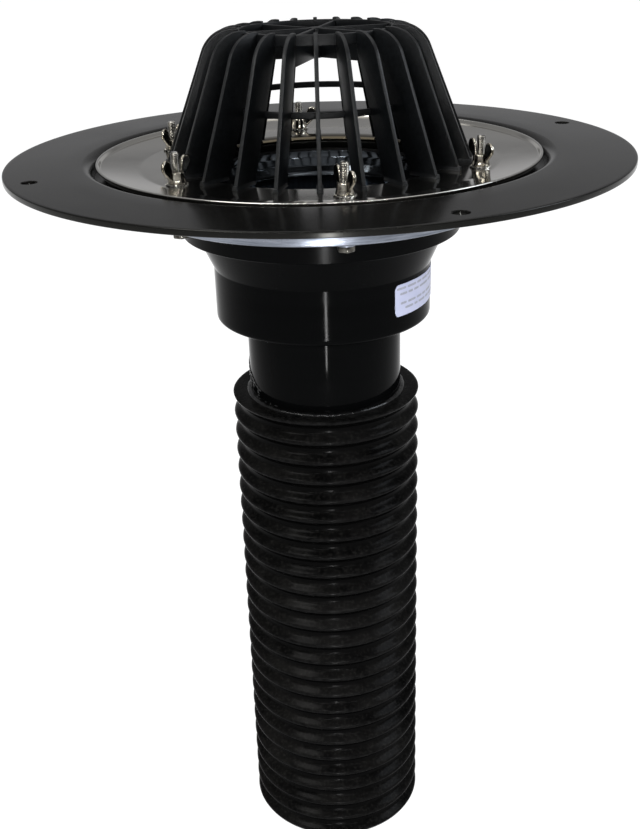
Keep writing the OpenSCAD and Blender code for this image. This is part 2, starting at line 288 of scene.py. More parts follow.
def group(name, inputs, outputs):
    """An empty shader group: a tuple makes a colour input, a number a float input."""
    g = bpy.data.node_groups.new(name, "ShaderNodeTree")
    for label, value in inputs.items():
        kind = "NodeSocketColor" if isinstance(value, tuple) else "NodeSocketFloat"
        g.interface.new_socket(label, in_out="INPUT", socket_type=kind).default_value = value
    for label, kind in outputs.items():
        g.interface.new_socket(label, in_out="OUTPUT", socket_type="NodeSocket" + kind)
    return g, g.nodes.new("NodeGroupInput"), g.nodes.new("NodeGroupOutput")


print("node helpers ready")


# %% [markdown]
# ## Effects that several finishes share
# Moulded plastic has a fine grain, turned plastic has rings that follow the
# cutter round the axis, and dust settles on faces that look up. Sharp edges get
# a painted highlight: a brighter colour where the steel ring's edges and the
# hose's crests catch the light. A painted image could show all this, but it
# would need an unwrapped mesh and would blur close up. Noise on object
# coordinates stays sharp at any distance, and as node groups each effect is
# built once and placed in every finish that needs it, with that finish's own
# amounts.

# %% Grain and turned rings
def axis_distance(tree):
    """Distance from the drain's axis, and height, as sockets."""
    x, y, z = node(tree, "ShaderNodeSeparateXYZ", {0: object_place(tree)}).outputs
    return math_node(tree, "SQRT", plus(tree, times(tree, x, x), times(tree, y, y))), z


def make_axis():
    g, _, out = group("axis_distance", {}, {"Radius": "Float", "Height": "Float"})
    for label, socket in zip(("Radius", "Height"), axis_distance(g)):
        g.links.new(socket, out.inputs[label])
    return g


def make_grain():
    g, ins, out = group("moulded_grain", {"Scale": 900.0, "Detail": 3.0}, {"Height": "Float"})
    g.links.new(noise_fac(g, ins.outputs["Scale"], ins.outputs["Detail"]), out.inputs["Height"])
    return g


def make_rings():
    g, ins, out = group("turned_rings", {"Rings per metre": 700.0, "Waver": 0.3},
                        {"Height": "Float", "Broad": "Float"})
    r, z = axis_distance(g)
    slope, band = 1.07, 0.07
    shift = times(g, times(g, noise_fac(g, 9.0, 1.0), ins.outputs["Waver"]), 0.001)
    w = times(g, plus(g, plus(g, times(g, r, slope), z), shift), ins.outputs["Rings per metre"])
    for label, place, detail in (("Height", w, 3.0), ("Broad", times(g, w, band), 2.0)):
        tex = node(g, "ShaderNodeTexNoise", {"W": place, "Scale": 1.0, "Detail": detail}, noise_dimensions="1D")
        g.links.new(tex.outputs["Fac"], out.inputs[label])
    return g


AXIS, GRAIN, RINGS = make_axis(), make_grain(), make_rings()
print("groups:", AXIS.name, GRAIN.name, RINGS.name)


# %% Dust and painted edge highlights
def masked(g, ins, out, mask, second):
    """Sends out the mask, and the group's colour mixed with its second colour by it."""
    g.links.new(mixed(g, mask, ins.outputs["Color"], ins.outputs[second]), out.inputs["Color"])
    g.links.new(mask, out.inputs["Mask"])
    return g


def make_dust():
    g, ins, out = group("dust_film", {"Color": (0, 0, 0, 1), "Dust": (0.3, 0.29, 0.27, 1),
                                      "Amount": 0.2, "Scale": 14.0}, {"Color": "Color", "Mask": "Float"})
    up = node(g, "ShaderNodeSeparateXYZ", {0: node(g, "ShaderNodeNewGeometry").outputs["Normal"]}).outputs[2]
    patch = spread(g, noise_fac(g, ins.outputs["Scale"], 5.0, 0.65), 0.0, 1.0, 0.38, 0.72)
    speck = spread(g, noise_fac(g, 480.0, 2.0), 0.0, 1.0, 0.5, 0.72)
    both = plus(g, times(g, patch, 0.6), times(g, speck, 0.5))
    facing = times(g, math_node(g, "MAXIMUM", up, 0.0), ins.outputs["Amount"])
    return masked(g, ins, out, math_node(g, "MULTIPLY", both, facing, clamp=True), "Dust")


# Painted highlight: convex edges, found by pointiness and broken by noise, get a brighter colour that stands in for
# the light they catch.
def make_edge_highlight():
    g, ins, out = group("painted_edge_highlight", {"Color": (0, 0, 0, 1), "Painted highlight": (0.5, 0.5, 0.5, 1), "Amount": 0.5},
                        {"Color": "Color", "Mask": "Float"})
    sharp = node(g, "ShaderNodeNewGeometry").outputs["Pointiness"]
    rim = spread(g, sharp, 0.0, 1.0, 0.51, 0.58)
    broken = spread(g, noise_fac(g, 260.0, 4.0, 0.7), 0.0, 1.0, 0.36, 0.62)
    return masked(g, ins, out, math_node(g, "MULTIPLY", times(g, rim, broken), ins.outputs["Amount"],
                                         clamp=True), "Painted highlight")


DUST, EDGE_HIGHLIGHT = make_dust(), make_edge_highlight()
print("groups:", DUST.name, EDGE_HIGHLIGHT.name)


# %% [markdown]
# ## The frame of every finish
# Each finish is one Principled shader. What is the same all over, such as the
# index of refraction that sets how much a plastic mirrors, is set on the shader's
# own socket. What varies comes from nodes: colour, roughness, and a stack of bump
# layers from fine to coarse. The black plastics are given a low index, so that
# they stay black in a bright room and mirror only its brightest lamps.

# %% Material helpers
def use(tree, g, inputs=None):
    """The outputs of a shared group placed in this tree."""
    return node(tree, "ShaderNodeGroup", inputs, node_tree=g).outputs


def material(name, **sockets):
    m = bpy.data.materials.new(name)
    m.use_nodes = True
    shader = m.node_tree.nodes["Principled BSDF"]
    for k, v in sockets.items():
        shader.inputs[k.replace("_", " ")].default_value = v
    return m, m.node_tree, shader


def finish(tree, shader, colour, rough, *layers):
    """Links colour, roughness and bump layers of (height, distance in metres, strength)."""
    tree.links.new(colour, shader.inputs["Base Color"])
    if rough is not None:
        tree.links.new(rough, shader.inputs["Roughness"])
    last = None
    for height, distance, strength in layers:
        b = node(tree, "ShaderNodeBump", {"Height": height, "Distance": distance, "Strength": strength})
        if last:
            tree.links.new(last, b.inputs["Normal"])
        last = b.outputs["Normal"]
    if last:
        tree.links.new(last, shader.inputs["Normal"])


def grain(tree, scale):
    return use(tree, GRAIN, {"Scale": scale})["Height"]


print("material helpers ready")


# %% [markdown]
# ## Roof flange
# The flange is one thick moulded disc of black plastic. Its middle is dished, so
# that the clamping ring sinks in, and the roof deck is screwed through four holes
# in the rim. A cylinder with loop cuts would do for the disc, but its wall is a
# soft quarter wave, so it is turned from an outline. The holes could be modelled
# into the faces; a Boolean cut with a small countersunk cutter keeps them round
# and leaves the disc's rings of faces alone. The cutters are four copies of one
# shape on a circle: work for Geometry Nodes.

# %% Geometry Nodes: a ring of copies
def ring_tree():
    g = bpy.data.node_groups.new("ring_of_copies", "GeometryNodeTree")
    for label, kind, value in (("Copy", "Object", None), ("Count", "Int", 6), ("Radius", "Float", 0.1),
                               ("Start", "Float", 0.0), ("Material", "Material", None)):
        s = g.interface.new_socket(label, in_out="INPUT", socket_type="NodeSocket" + kind)
        if value is not None:
            s.default_value = value
    g.interface.new_socket("Geometry", in_out="OUTPUT", socket_type="NodeSocketGeometry")
    ins, out = g.nodes.new("NodeGroupInput").outputs, g.nodes.new("NodeGroupOutput").inputs
    index = g.nodes.new("GeometryNodeInputIndex").outputs[0]
    step = math_node(g, "DIVIDE", 2 * pi, ins["Count"])
    angle = plus(g, times(g, index, step), ins["Start"])
    x = times(g, math_node(g, "COSINE", angle), ins["Radius"])
    y = times(g, math_node(g, "SINE", angle), ins["Radius"])
    place = node(g, "ShaderNodeCombineXYZ", {0: x, 1: y})
    turn = node(g, "ShaderNodeCombineXYZ", {2: angle})
    points = node(g, "GeometryNodePoints", {"Count": ins["Count"], "Position": place.outputs[0]})
    shape = node(g, "GeometryNodeObjectInfo", {"Object": ins["Copy"]}).outputs["Geometry"]
    copies = node(g, "GeometryNodeInstanceOnPoints",
                  {"Points": points.outputs[0], "Instance": shape, "Rotation": turn.outputs[0]})
    real = node(g, "GeometryNodeRealizeInstances", {0: copies.outputs[0]})
    final = node(g, "GeometryNodeSetMaterial", {"Geometry": real.outputs[0], "Material": ins["Material"]})
    g.links.new(final.outputs[0], out["Geometry"])
    return g


RING_TREE = ring_tree()


def ring_of(mesh, count, radius, start, mat):
    """A mesh of copies of this mesh on a circle, from the tree above, applied."""
    copy = loose("tmp_copy", mesh)
    host = loose("tmp_host", bpy.data.meshes.new("tmp_host"))
    mod = host.modifiers.new("ring", "NODES")
    mod.node_group = RING_TREE
    values = {"Copy": copy, "Count": count, "Radius": radius * MM, "Start": radians(start), "Material": mat}
    for item in RING_TREE.interface.items_tree:
        if item.in_out == "INPUT":
            mod[item.identifier] = values[item.name]
    got = taken(applied(host))
    bpy.data.objects.remove(copy)
    return got


print("geometry tree:", RING_TREE.name, "with", len(RING_TREE.nodes), "nodes")


# %% Flange plastic
def flange_plastic():
    m, t, s = material("flange_plastic", IOR=1.22, Specular_Tint=(1.0, 1.0, 0.94, 1.0))
    rings = use(t, RINGS, {"Rings per metre": 900.0, "Waver": 0.4})
    tone = mixed(t, noise_fac(t, 7.0, 4.0), (0.0020, 0.0020, 0.0019), (0.0040, 0.0039, 0.0036))
    dust = use(t, DUST, {"Color": tone, "Amount": 0.035, "Dust": (0.22, 0.21, 0.19, 1), "Scale": 11.0})
    rough = plus(t, spread(t, noise_fac(t, 16.0, 5.0), 0.13, 0.2), times(t, dust["Mask"], 0.5))
    finish(t, s, dust["Color"], rough, (rings["Height"], 0.000012, 0.4), (grain(t, 700.0), 0.00002, 0.25))
    return m


FLANGE_MAT = flange_plastic()
print("finish:", FLANGE_MAT.name)

# %% Roof flange plate
FLANGE_R, RIM_T, THROAT_R = 208.5, 4.0, 82.0
DISH_Z, DISH_R, WALL_W, UNDER_Z = -5.5, 150.5, 8.0, -10.5
HOLE_N, HOLE_R, SINK_R, HOLE_CIRCLE, HOLE_A0 = 4, 5.0, 5.6, 194.0, 15.0


def make_flange():
    steps = [radians(90) * i / 20 for i in range(1, 21)]
    wall = [(DISH_R + WALL_W * (1 - cos(t)), DISH_Z + (RIM_T - DISH_Z) * sin(t), 0) for t in steps]
    flat = [(r, DISH_Z, 0) for r in (THROAT_R + 3, 118, 147)] + [(DISH_R, DISH_Z, 0.5)]
    rim = [(r, RIM_T, 0) for r in (172, 190, 206)] + [(FLANGE_R, RIM_T, 0.9), (FLANGE_R, 0, 0.7)]
    under = [(206, 0, 0), (DISH_R + WALL_W + 3, 0, 0), (DISH_R + WALL_W + 1.5, 0, 1.2),
             (DISH_R + 0.2, UNDER_Z, 2), (146, UNDER_Z, 0), (84, UNDER_Z, 0), (THROAT_R, UNDER_Z, 0.4)]
    outline = [(THROAT_R, DISH_Z, 0.6)] + flat + wall + rim + under
    disc = loose("tmp_flange", lathe("roof_flange_plate", rounded(outline), 288))
    hole = lathe("hole", [(0.001, -3), (HOLE_R, -3), (HOLE_R, RIM_T - 0.5), (SINK_R, RIM_T + 0.1),
                          (SINK_R, 9), (0.001, 9)], 40)
    cut_out(disc, ring_of(hole, HOLE_N, HOLE_CIRCLE, HOLE_A0, FLANGE_MAT))
    obj = add_object("roof_flange_plate", taken(disc), FLANGE_MAT, smooth=30)
    return hand_over(obj, "flange_plastic", "roof_flange")


make_flange()


# %% [markdown]
# ## Clamping ring and its seal
# The ring is pressed from thin stainless sheet. Its outer edge is raised to a lip
# that stiffens it, and its inner edge is rolled down into the throat. Solidify on
# a flat disc would give the sheet, but not both edges, so both faces of the sheet
# are drawn. Steel is a mirror with faint rings: only its roughness and a broad
# waviness tell it from chrome. Dirty water dries at the inner edge, so a brown
# stain fades in there by the distance from the axis. The rubber seal below is
# turned too, and starts outside the rolled edge.

# %% Ring steel and seal rubber
RING_LIP, RING_OUT, RING_TOP, RING_FLAT = 83.0, 149.0, 147.4, 121.0
RING_Z, DECK_Z, LIP = -3.0, -1.5, 5.5
STAIN_FULL, STAIN_END = 4.5, 9.0


def ring_steel():
    m, t, s = material("ring_steel", Metallic=1.0)
    rings = use(t, RINGS, {"Rings per metre": 2600.0, "Waver": 1.4})
    smudge = noise_fac(t, 22.0, 5.0, 0.65)
    tone = mixed(t, smudge, (0.39, 0.38, 0.355), (0.50, 0.485, 0.45))
    r = use(t, AXIS)["Radius"]
    stain = spread(t, r, 1.0, 0.0, (RING_LIP + STAIN_FULL) * MM, (RING_LIP + STAIN_END) * MM)
    tone = mixed(t, stain, tone, (0.055, 0.045, 0.028))
    # Painted highlight: the ring's sharp edges are made brighter where they catch the light.
    edge_lit = use(t, EDGE_HIGHLIGHT, {"Color": tone, "Painted highlight": (0.75, 0.75, 0.75, 1), "Amount": 0.4})
    rough = plus(t, spread(t, smudge, 0.07, 0.14), times(t, rings["Height"], 0.05))
    finish(t, s, edge_lit["Color"], rough, (rings["Height"], 0.000012, 0.4), (noise_fac(t, 5.0, 2.0), 0.0012, 0.12))
    return m


def seal_rubber():
    m, t, s = material("seal_rubber", Specular_IOR_Level=0.25)
    tone = mixed(t, noise_fac(t, 120.0, 4.0), (0.010, 0.010, 0.011), (0.022, 0.022, 0.022))
    finish(t, s, tone, spread(t, noise_fac(t, 80.0), 0.55, 0.7), (grain(t, 900.0), 0.0001, 0.4))
    return m


RING_MAT, RUBBER_MAT = ring_steel(), seal_rubber()
print("finishes:", RING_MAT.name, RUBBER_MAT.name)


# %% Clamping ring and seal
def turned(name, outline, mat, cad, slot, segs=224, smooth=30):
    obj = add_object(name, lathe(name, rounded(outline), segs), mat, smooth=smooth)
    return hand_over(obj, slot, cad)


turned("clamp_ring_sheet", [
    (RING_LIP, RING_Z - 1.9, 0.4), (RING_LIP + 3.2, RING_Z - 1.6, 2.5), (RING_LIP + 8, RING_Z, 3),
    (RING_FLAT, RING_Z, 30), (RING_TOP - 0.6, RING_Z + 2.9, 0.9), (RING_TOP + 0.7, RING_Z + LIP, 0.5),
    (RING_OUT, RING_Z + LIP, 0.3), (RING_OUT, DECK_Z + LIP, 0.5), (RING_TOP, DECK_Z + LIP, 0.8),
    (RING_TOP - 1.3, DECK_Z + 2.9, 0.9), (RING_FLAT, DECK_Z, 30), (RING_LIP + 8, DECK_Z, 6),
    (RING_LIP + 2.4, DECK_Z - 1.2, 2), (RING_LIP, DECK_Z - 2.4, 0.5)],
    RING_MAT, "clamp_ring", "ring_steel", 288)

SEAL_IN, SEAL_OUT = RING_LIP + 10, 135.5
turned("clamp_seal_sheet", [
    (SEAL_IN, DISH_Z, 0.3), (SEAL_OUT, DISH_Z, 0.3), (SEAL_OUT, RING_Z, 0.3), (SEAL_IN, RING_Z, 0.3)],
    RUBBER_MAT, "clamp_seal", "seal_rubber")


# %% [markdown]
# ## Drain body
# The body is one piece of black plastic: a bolted flange on top, a thick collar,
# a cone and the straight sump. It is turned, so it carries fine rings, and its
# finish differs with the place: satin on the collar, glossy on the sump, and
# strongly mirroring inside the throat, with a bluish tint on its reflections that
# is painted light from a cool window. Three finishes from one recipe are put on
# by each face's place, rather than by cutting the body into three pieces that
# would leave seams between them.

# %% Turned plastic
def turned_plastic(name, tone, ring_strength=0.5, rough=(0.06, 0.1), **sockets):
    m, t, s = material(name, **sockets)
    rings = use(t, RINGS, {"Rings per metre": 1100.0, "Waver": 0.1})
    dark, light = (tuple(c * k for c in tone) for k in (0.75, 1.35))
    dust = use(t, DUST, {"Color": mixed(t, rings["Broad"], dark, light), "Amount": 0.02, "Scale": 20.0})
    finish(t, s, dust["Color"], spread(t, rings["Broad"], *rough), (rings["Height"], 0.00003, ring_strength),
           (rings["Broad"], 0.0001, 0.3), (grain(t, 500.0), 0.00001, 0.2))
    return m


BLACK = (0.0011, 0.0012, 0.0013)
BODY_MAT = turned_plastic("body_plastic", BLACK, IOR=1.085)
COLLAR_MAT = turned_plastic("collar_plastic", BLACK, 0.6, (0.15, 0.21), IOR=1.10)
# Painted reflection colour: the bluish specular tint stands in for a cool window mirrored in the throat.
INSIDE_MAT = turned_plastic("inner_plastic", BLACK, 0.3, (0.05, 0.1), IOR=2.0, Specular_Tint=(0.8, 0.9, 1.0, 1.0))
print("finishes:", BODY_MAT.name, COLLAR_MAT.name, INSIDE_MAT.name)

# %% Drain body
BODY_Z, BACK_Z, COLLAR_Z, SUMP_Z, FLOOR_Z, BASE_Z = -12.5, -22.5, -47.5, -71.5, -99.5, -109.5
BODY_R, COLLAR_R, CONE_R, SUMP_R, BORE_R, BOND_R = 122.0, 96.0, 87.0, 76.0, 66.0, 55.1

outside = [
    (BOND_R, BASE_Z, 0.3), (SUMP_R - 4, BASE_Z, 0), (SUMP_R, BASE_Z, 2.6), (SUMP_R, BASE_Z + 5, 0),
    (SUMP_R, SUMP_Z, 1.5), (CONE_R, COLLAR_Z, 0.5), (COLLAR_R - 0.4, COLLAR_Z, 0.3),
    (COLLAR_R, COLLAR_Z + 0.4, 0.2), (COLLAR_R, BACK_Z, 0), (BODY_R - 0.6, BACK_Z, 0.3),
    (BODY_R, BACK_Z + 0.8, 0.4), (BODY_R, BODY_Z - 0.8, 0.4), (BODY_R - 0.8, BODY_Z, 0.3)]
funnel = [
    (THROAT_R, BODY_Z, 0.3), (81.3, BODY_Z - 4.5, 8), (79.4, BODY_Z - 10, 8), (76.8, BODY_Z - 14.2, 0.3),
    (76.4, BODY_Z - 14.7, 0.3), (74.6, BODY_Z - 16.4, 0.4), (74.2, COLLAR_Z, 1.0), (BORE_R, SUMP_Z, 1.0),
    (BORE_R, FLOOR_Z, 1.5), (BOND_R, FLOOR_Z, 0.3)]
body = turned("drain_body_turned", outside + funnel, BODY_MAT, "drain_body", "body_plastic")
body.data.materials.append(COLLAR_MAT)
body.data.materials.append(INSIDE_MAT)
counts = [0, 0, 0]
for face in body.data.polygons:
    c = face.center
    if math.hypot(c.x, c.y) > (COLLAR_R - 0.7) * MM and COLLAR_Z * MM < c.z < BACK_Z * MM:
        face.material_index = 1
    elif c.x * face.normal.x + c.y * face.normal.y < -0.01 * MM and c.z > (FLOOR_Z - 1) * MM:
        face.material_index = 2
    counts[face.material_index] += 1
print("body faces outside, on the collar and inside:", counts)


# %% [markdown]
# ## Backing ring and outlet pipe
# The backing ring is a heavy flat ring of zinc-plated steel that spreads the
# bolts' pull over the plastic. Rolled plate has streaks along its edge, so its
# noise is stretched: small steps in height, long ones round the ring. The pipe
# below is drawn plastic, smoother than anything turned, so it takes the turned
# recipe with hardly any rings. Both are plain turned outlines with soft corners.

# %% Zinc plating and pipe plastic
def zinc_steel():
    m, t, s = material("zinc_steel", Metallic=1.0)
    long_way = node(t, "ShaderNodeMapping", {"Vector": object_place(t), "Scale": (26.0, 26.0, 420.0)})
    streak = node(t, "ShaderNodeTexNoise", {"Vector": long_way.outputs[0], "Scale": 1.0, "Detail": 5.0,
                                            "Roughness": 0.7}).outputs["Fac"]
    tone = mixed(t, spread(t, streak, 0.0, 1.0, 0.35, 0.65), (0.10, 0.115, 0.14), (0.28, 0.30, 0.35))
    finish(t, s, tone, spread(t, streak, 0.38, 0.2), (streak, 0.00025, 0.6),
           (noise_fac(t, 300.0, 3.0), 0.00004, 0.4))
    return m


ZINC_MAT = zinc_steel()
PIPE_MAT = turned_plastic("pipe_plastic", (0.0013, 0.0014, 0.0015), 0.2, (0.05, 0.09), IOR=1.085)
print("finishes:", ZINC_MAT.name, PIPE_MAT.name)

# %% Backing ring and pipe
HEAD_Z, BACKING_IN, BACKING_OUT = -29.5, 97.0, 121.0
turned("backing_ring_steel", [
    (BACKING_IN, HEAD_Z, 0.4), (BACKING_OUT, HEAD_Z, 1.1), (BACKING_OUT, BACK_Z, 1.1), (BACKING_IN, BACK_Z, 0.4)],
    ZINC_MAT, "backing_ring", "zinc_steel")

PIPE_R, PIPE_BORE, PIPE_END = 55.0, 50.0, FLOOR_Z - 104
turned("outlet_pipe_tube", [
    (PIPE_BORE, PIPE_END, 0.3), (PIPE_R, PIPE_END, 0.6), (PIPE_R, -130, 0), (PIPE_R, FLOOR_Z, 0.3),
    (PIPE_BORE, FLOOR_Z, 0.8)], PIPE_MAT, "outlet_pipe", "pipe_plastic", 160)


# %% [markdown]
# ## Corrugated hose
# The hose is blown plastic with a wave every 15.4 mm, so that it can bend. A
# plain cosine looks too soft: the real crests are narrower than the hollows, so
# the cosine is raised to a power. An Array of rings could repeat one wave, but one
# outline that runs down the whole hose has no seams. Blown walls are never quite
# even, so slow noise moves the wall by a tenth of a millimetre. The wall is
# closed: outer side, cut end, inner side and bonded top make one outline.

# %% Hose plastic
def hose_plastic():
    m, t, s = material("hose_plastic", IOR=1.08)
    tone = mixed(t, noise_fac(t, 24.0, 5.0), (0.0009, 0.0009, 0.0009), (0.0018, 0.0018, 0.0018))
    # Painted highlight: the convex crests get a lighter grey, standing in for the thin light lines along them.
    edge_lit = use(t, EDGE_HIGHLIGHT, {"Color": tone, "Painted highlight": (0.022, 0.022, 0.022, 1), "Amount": 0.5})
    dust = use(t, DUST, {"Color": edge_lit["Color"], "Amount": 0.05, "Scale": 26.0})
    finish(t, s, dust["Color"], spread(t, noise_fac(t, 30.0, 5.0), 0.14, 0.24), (grain(t, 420.0), 0.00012, 0.35),
           (noise_fac(t, 60.0, 3.0), 0.0003, 0.2))
    return m


HOSE_MAT = hose_plastic()
print("finish:", HOSE_MAT.name)

# %% Corrugated hose wall
HOSE_Z, CREST_R, WAVE, PITCH, WAVES, HOSE_WALL = -167.7, 68.2, 5.5, 15.4, 24, 2.5
CREST_Z = HOSE_Z - 1.0
HOSE_END = CREST_Z - PITCH * WAVES - 1.7
CREST_POWER, UNEVEN = 1.5, 0.12
OUTER_STEPS, INNER_STEPS = 18, 10


def wave_r(z):
    return CREST_R - WAVE * (1 - ((1 + cos(2 * pi * (z - CREST_Z) / PITCH)) / 2) ** CREST_POWER)


def uneven(r, z, a):
    if z > HOSE_Z - 1:
        return r, z
    n = noise.noise(Vector((cos(a) * 1.3, sin(a) * 1.3, z / 60.0)))
    return min(r + UNEVEN * n, CREST_R - 0.01), z


def make_hose():
    outer = [(BOND_R, HOSE_Z), (62, HOSE_Z), (66.2, HOSE_Z - 0.02), (67.4, HOSE_Z - 0.25)]
    down = [CREST_Z - PITCH * i / OUTER_STEPS for i in range(OUTER_STEPS * WAVES + 1)] + [HOSE_END]
    back = [HOSE_END] + [CREST_Z - PITCH * i / INNER_STEPS for i in range(INNER_STEPS * WAVES, 1, -1)]
    outer += [(wave_r(z), z) for z in down]
    inner = [(wave_r(z) - HOSE_WALL, z) for z in back] + [(BOND_R, HOSE_Z - HOSE_WALL)]
    mesh = lathe("corrugated_hose_wall", outer + inner, 128, uneven)
    obj = add_object("corrugated_hose_wall", mesh, HOSE_MAT, smooth=40)
    return hand_over(obj, "hose_plastic", "corrugated_hose")


make_hose()


# %% [markdown]
# ## Sealant bead
# The joint of pipe and hose is sealed by hand with a black mass that dries
# glossy. A torus would look like a machined ring. Instead a quarter circle is
# turned round the joint, and noise changes its width and height on the way, in
# long swells with short lumps on them.

# %% Sealant and its bead
def sealant_gloss():
    m, t, s = material("sealant", IOR=1.4)
    tone = mixed(t, noise_fac(t, 160.0, 4.0), (0.0015, 0.0015, 0.0015), (0.004, 0.004, 0.004))
    finish(t, s, tone, spread(t, noise_fac(t, 140.0, 4.0), 0.12, 0.35), (noise_fac(t, 190.0, 5.0, 0.6), 0.0006, 0.6))
    return m


BEAD_MAT = sealant_gloss()
BEAD_W, BEAD_H, BEAD_STEPS, SWELL_W, SWELL_H = 2.9, 2.0, 10, 0.8, 0.7


def lumpy(across, up, a):
    """Width and height of the bead at this angle, for a point of a quarter circle."""
    lump = noise.noise(Vector((cos(a) * 5, sin(a) * 5, 3.1))) * 0.5
    lump += noise.noise(Vector((cos(a) * 16, sin(a) * 16, 9.0))) * 0.25
    return BOND_R + (BEAD_W + SWELL_W * lump) * across, HOSE_Z + (BEAD_H + SWELL_H * lump) * up


quarter = [(pi / 2) * i / BEAD_STEPS for i in range(BEAD_STEPS + 1)]
bead = lathe("sealant_bead_ring", [(cos(t), sin(t)) for t in quarter] + [(0, 0)], 220, lumpy)
hand_over(add_object("sealant_bead_ring", bead, BEAD_MAT, smooth=50), "sealant", "sealant_bead")


# %% [markdown]
# ## Sealant left on the pipe
# Where the mass was put on, some stayed on the pipe: a slanting run with drips,
# and a thin ragged film along the joint. It could be sculpted. Here a depth is
# worked out for each spot of a fine grid laid on the pipe, as the greatest of a
# few simple shapes with noise at their edges. Only the grid's cells that have
# some depth are kept, and walls close them down to the pipe.

# %% Depth of the smear
RUN = ((-98, 24.0), (-88, 20.5), (-81, 17.5), (-73, 15.0), (-65, 11.0), (-57, 8.5))
DRIPS = ((-93, 21.5, 9.0, 1.3), (-84, 18.0, 6.0, 1.0), (-77, 15.5, 11.0, 1.5),
         (-69, 12.5, 5.0, 1.1), (-61, 9.0, 8.0, 1.3))
ARC = 0.96  # millimetres of pipe surface for each degree


def soft_noise(x, y, z):
    return noise.noise(Vector((x, y, z)))


def within(value):
    return max(0.0, min(1.0, value))


def smear_depth(side, up):
    """Depth in mm at an arc position and a height above the joint."""
    at = Vector((side * 0.55, up * 0.55, 4.0))
    rough = noise.noise(at) + 0.6 * noise.noise(at * 2.3)
    here, best = Vector((side, up)), 0.0
    for (a0, h0), (a1, h1) in zip(RUN, RUN[1:]):
        start, step = Vector((a0 * ARC, h0)), Vector(((a1 - a0) * ARC, h1 - h0))
        t = within((here - start).dot(step) / step.length_squared)
        best = max(best, 1.0 - (here - start - step * t).length / (1.25 + 0.7 * rough))
    for a, top, length, width in DRIPS:
        away = math.hypot(side - a * ARC + 0.5 * rough, max(0.0, up - top, top - length - up))
        best = max(best, 1.0 - away / (width + 0.3 * rough))
    reach = 3.0 + 2.2 * soft_noise(side * 0.22, 0.0, 1.0) + 1.6 * soft_noise(side * 0.9, 0.0, 5.0)
    reach *= 1.0 if side < -45 else max(0.0, (2.0 - side) / 47)
    reach += 5.0 * within((-60 - side) / 25) * (0.6 + soft_noise(side * 0.5, 2.0, 8.0))
    if reach > 0.2:
        best = max(best, 0.75 * (1.0 - up / reach))
    return 0.9 * best + 0.12 * rough - 0.1


print("depth on the run:", round(smear_depth(-78.0, 17.5), 2), "mm; clear of it:", smear_depth(-20.0, 20.0) > 0.02)

# %% Mesh of the smear
COLS, ROWS, SIDE_0, SIDE_STEP, UP_STEP, FILM = 150, 52, -104, 0.72, 0.5, 0.02


def make_smear():
    grid = [[smear_depth(SIDE_0 + SIDE_STEP * i, UP_STEP * j - 0.1) for j in range(ROWS)] for i in range(COLS)]
    keep = {(i, j) for i in range(COLS - 1) for j in range(ROWS - 1)
            if min(grid[i][j], grid[i + 1][j], grid[i + 1][j + 1], grid[i][j + 1]) > FILM}

    def spot(i, j, depth):
        a = radians((SIDE_0 + SIDE_STEP * i) / ARC - 97.5)
        r = PIPE_R + 0.02 + depth
        return (r * cos(a), r * sin(a), HOSE_Z + 0.05 + UP_STEP * j)

    verts = [spot(i, j, max(grid[i][j], 0.03)) for i in range(COLS) for j in range(ROWS)]
    verts += [spot(i, j, 0.0) for i in range(COLS) for j in range(ROWS)]
    off = COLS * ROWS
    faces = []
    for i, j in keep:
        a, b, c, d = i * ROWS + j, (i + 1) * ROWS + j, (i + 1) * ROWS + j + 1, i * ROWS + j + 1
        faces += [(a, b, c, d), (d + off, c + off, b + off, a + off)]
        for near, u, v in (((i, j - 1), a, b), ((i + 1, j), b, c), ((i, j + 1), c, d), ((i - 1, j), d, a)):
            if near not in keep:
                faces.append((u, u + off, v + off, v))
    mesh = fill_mesh("sealant_smear", verts, faces)
    bm = bmesh.new()
    bm.from_mesh(mesh)
    bmesh.ops.delete(bm, geom=[v for v in bm.verts if not v.link_faces], context="VERTS")
    bm.to_mesh(mesh)
    bm.free()
    return hand_over(add_object("sealant_smear", mesh, BEAD_MAT, smooth=70), "sealant")


make_smear()


# %% [markdown]
# ## Strainer dome
# The dome keeps leaves out: 24 upright fins lean inwards, round over at the top,
# and are held by a crown ring, a hoop inside them and six ribs that meet in a
# hub. It is one moulding of dull black plastic, and the blue cast of its colour
# is painted light from a cool window. A fin is a flat outline with a soft bevel,
# and Geometry Nodes set its copies round the axis. Ribs and feet are made the
# same way. The fins' outer edges are painted paler: a painted highlight where
# they catch the light. Pointiness would also find every inner corner, so the
# painted highlight is masked by place: how near a point is to the cone that the
# outer edges lie on.

# %% Dome plastic
DOME_R, DOME_H, LEAN, FIN_T, FIN_N, FIN_A0 = 103.2, 86.0, 21.5, 2.6, 24, 7.5
SHINE_START, SHINE_END = 1.1, 0.7


